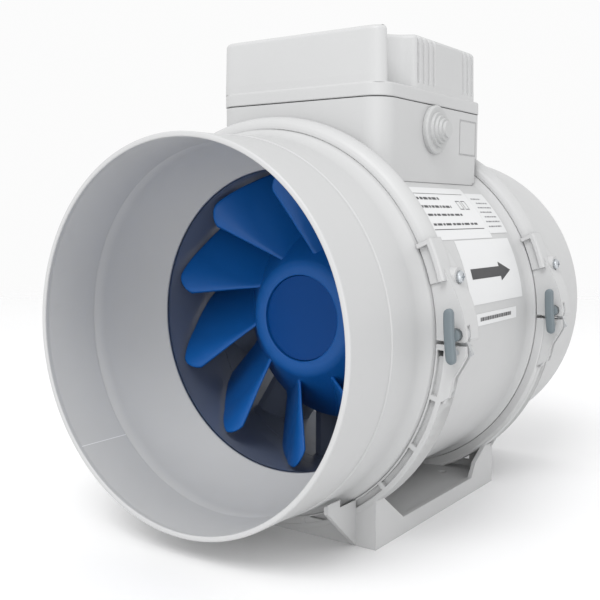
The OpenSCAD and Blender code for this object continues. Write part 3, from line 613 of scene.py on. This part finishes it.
# floor of the ribbed channel in the front half ring
verts, faces = [], []
for degree in range(-176, -4):
    a0, a1 = math.radians(degree), math.radians(degree + 1)
    first = len(verts)
    for y in (CHANNEL_Y, CHANNEL_Y + CHANNEL_T):
        verts += [around(CHANNEL_R[0], a0, y), around(CHANNEL_R[1], a0, y),
                  around(CHANNEL_R[1], a1, y), around(CHANNEL_R[0], a1, y)]
    faces += [tuple(range(first, first + 4)), tuple(range(first + 7, first + 3, -1))]
finish_piece("channel_floor", verts, faces, casing, "housing", smooth=False)


# ---------------------------------------------------------------- latch levers

PIVOT_X, PIVOT_Z = 116.2, 3.9          # of the right levers, from the fan axis
LEAN = math.radians(4.5)
GRIP_Y = -82.2
GRIP_HALF_W, GRIP_HALF_L, GRIP_HALF_T = 2.35, 13.1, 1.8
REAR_SHIFT = 133.4
SHAFT = ((3.1, 3.1, -81, -74.4), (2.3, 2.6, -74.4, -72.2), (2.6, 2.6, -72.2, -61.8))
SHAFT_SIDES = 32


def lever_mesh(side, rear):
    """A slightly bowed grip with rounded edges, its hub and its shaft."""
    verts, faces = [], []
    steps, ring = 22, 16
    for j in range(steps + 1):
        v = -GRIP_HALF_L + 2 * GRIP_HALF_L * (0.5 - 0.5 * math.cos(math.pi * j / steps))
        end = max(0.0, (abs(v) - (GRIP_HALF_L - GRIP_HALF_W)) / GRIP_HALF_W)
        width = (GRIP_HALF_W * math.sqrt(max(0.0, 1 - end * end))
                 * (1 + 0.06 * math.cos(v / GRIP_HALF_L)))
        width = max(width, 0.03)
        bow = 0.5 * (v / GRIP_HALF_L) ** 2
        for i in range(ring):
            a = 2 * math.pi * i / ring
            c, w = math.cos(a), math.sin(a)
            across = width * math.copysign(abs(c) ** 0.55, c)
            depth = GRIP_HALF_T * math.copysign(abs(w) ** 0.6, w) * (1 - 0.35 * end * end)
            verts.append((across + bow, v, GRIP_Y + depth))
    for j in range(steps):
        for i in range(ring):
            a, b = j * ring + i, j * ring + (i + 1) % ring
            faces.append((a, b, b + ring, a + ring))
    faces += [tuple(range(ring)), tuple(steps * ring + i for i in range(ring))]
    verts = [(x * math.cos(LEAN) - z * math.sin(LEAN),
              x * math.sin(LEAN) + z * math.cos(LEAN), y) for x, z, y in verts]
    for r0, r1, y0, y1 in SHAFT:
        first, n = len(verts), SHAFT_SIDES
        for y, r in ((y0, r0), (y1, r1)):
            verts += [(r * math.cos(2 * math.pi * i / n), r * math.sin(2 * math.pi * i / n), y)
                      for i in range(n)]
        faces += [(first + i, first + (i + 1) % n, first + n + (i + 1) % n, first + n + i)
                  for i in range(n)]
        faces += [tuple(range(first, first + n)), tuple(range(first + n, first + 2 * n))]
    shift = REAR_SHIFT if rear else 0.0
    sign = 1 if side == "right" else -1
    return [(sign * (PIVOT_X + x), y + shift, AXIS_Z + PIVOT_Z + z) for x, z, y in verts], faces


LATCHES = [(place, side) for place in ("front", "rear") for side in ("right", "left")]
for place, side in LATCHES:
    verts, faces = lever_mesh(side, place == "rear")
    weighted(finish_piece(f"grip_{place}_{side}", verts, faces, lever, f"latch_{place}_{side}",
                          [f"latch_lever_{place}_{side}"]))


# ---------------------------------------------------------------- edge radii of CAD nodes

EDGE_RADII = {"mounting_base": 0.5, "cable_grommet": 0.45, "latch_screws": 0.15}
EDGE_RADII.update({f"latch_hook_{place}_{side}": 0.2 for place, side in LATCHES})

for name, radius in EDGE_RADII.items():
    weld = NODES[name].modifiers.new("weld", "WELD")
    weld.merge_threshold = 1e-5
    bevel = NODES[name].modifiers.new("edge_radius", "BEVEL")
    bevel.width = radius * MM
    bevel.segments = 2
    bevel.limit_method = "ANGLE"
    bevel.angle_limit = math.radians(35)
    bevel.use_clamp_overlap = True
    bevel.harden_normals = True


# ---------------------------------------------------------------- floor, light, camera

FADE_FROM, FADE_TO = 0.55, 1.7      # metres from the object
WORLD_WHITE = 0.97


def area_light(name, at, look_at, size, watts):
    data = bpy.data.lights.new(name, "AREA")
    data.energy = watts
    data.size = size
    lamp = bpy.data.objects.new(name, data)
    lamp.location = at
    lamp.rotation_euler = (Vector(look_at) - Vector(at)).to_track_quat("-Z", "Y").to_euler()
    bpy.context.scene.collection.objects.link(lamp)


floor_t = Tree("studio_floor")
floor_t.link(floor_t.mix(floor_t.noise(3, 2), (0.85, 0.85, 0.86), (0.87, 0.87, 0.87)),
             floor_t.bsdf.inputs["Base Color"])
floor_t.set(Roughness=0.6, Emission_Color=(1, 1, 1, 1), Emission_Strength=0.035)
# the floor fades out with distance, so that no horizon shows
away = floor_t.nt.nodes.new("ShaderNodeVectorMath")
away.operation = "LENGTH"
floor_t.link(floor_t.place, away.inputs[0])
clear = floor_t.nt.nodes.new("ShaderNodeBsdfTransparent")
blend = floor_t.nt.nodes.new("ShaderNodeMixShader")
floor_t.link(floor_t.ramp(away.outputs["Value"], FADE_FROM, FADE_TO), blend.inputs[0])
floor_t.link(floor_t.bsdf.outputs[0], blend.inputs[1])
floor_t.link(clear.outputs[0], blend.inputs[2])
output = next(n for n in floor_t.nt.nodes if n.type == "OUTPUT_MATERIAL")
floor_t.link(blend.outputs[0], output.inputs[0])
bpy.ops.mesh.primitive_plane_add(size=12)
floor = bpy.context.object
floor.name = "studio_floor"
floor.data.materials.append(floor_t.mat)

world = bpy.data.worlds.new("studio")
bpy.context.scene.world = world
world.use_nodes = True
background = world.node_tree.nodes["Background"]
background.inputs["Color"].default_value = (1.0, 1.0, 1.0, 1.0)
background.inputs["Strength"].default_value = WORLD_WHITE

area_light("key", (0.3, -1.3, 1.7), (0, 0, 0.12), 1.0, 20)
area_light("low_fill", (1.0, -1.2, 0.22), (0, 0, 0.08), 0.9, 4)

CAMERA_AT = (0.29601, -0.45791, 0.17198)
CAMERA_TURN, CAMERA_DOWN, CAMERA_ROLL = (math.radians(a) for a in (35.15, 5.58, 0.14))
cam_data = bpy.data.cameras.new("camera")
cam_data.lens = 53.59
cam_data.sensor_width = 36
cam_data.clip_start = 0.01
cam = bpy.data.objects.new("camera", cam_data)
cam.location = CAMERA_AT
cam.rotation_euler = (
    Matrix.Rotation(CAMERA_TURN, 3, "Z") @ Matrix.Rotation(math.pi / 2 - CAMERA_DOWN, 3, "X")
    @ Matrix.Rotation(CAMERA_ROLL, 3, "Z")).to_euler()
bpy.context.scene.collection.objects.link(cam)
bpy.context.scene.camera = cam
bpy.context.scene.view_settings.view_transform = "Standard"
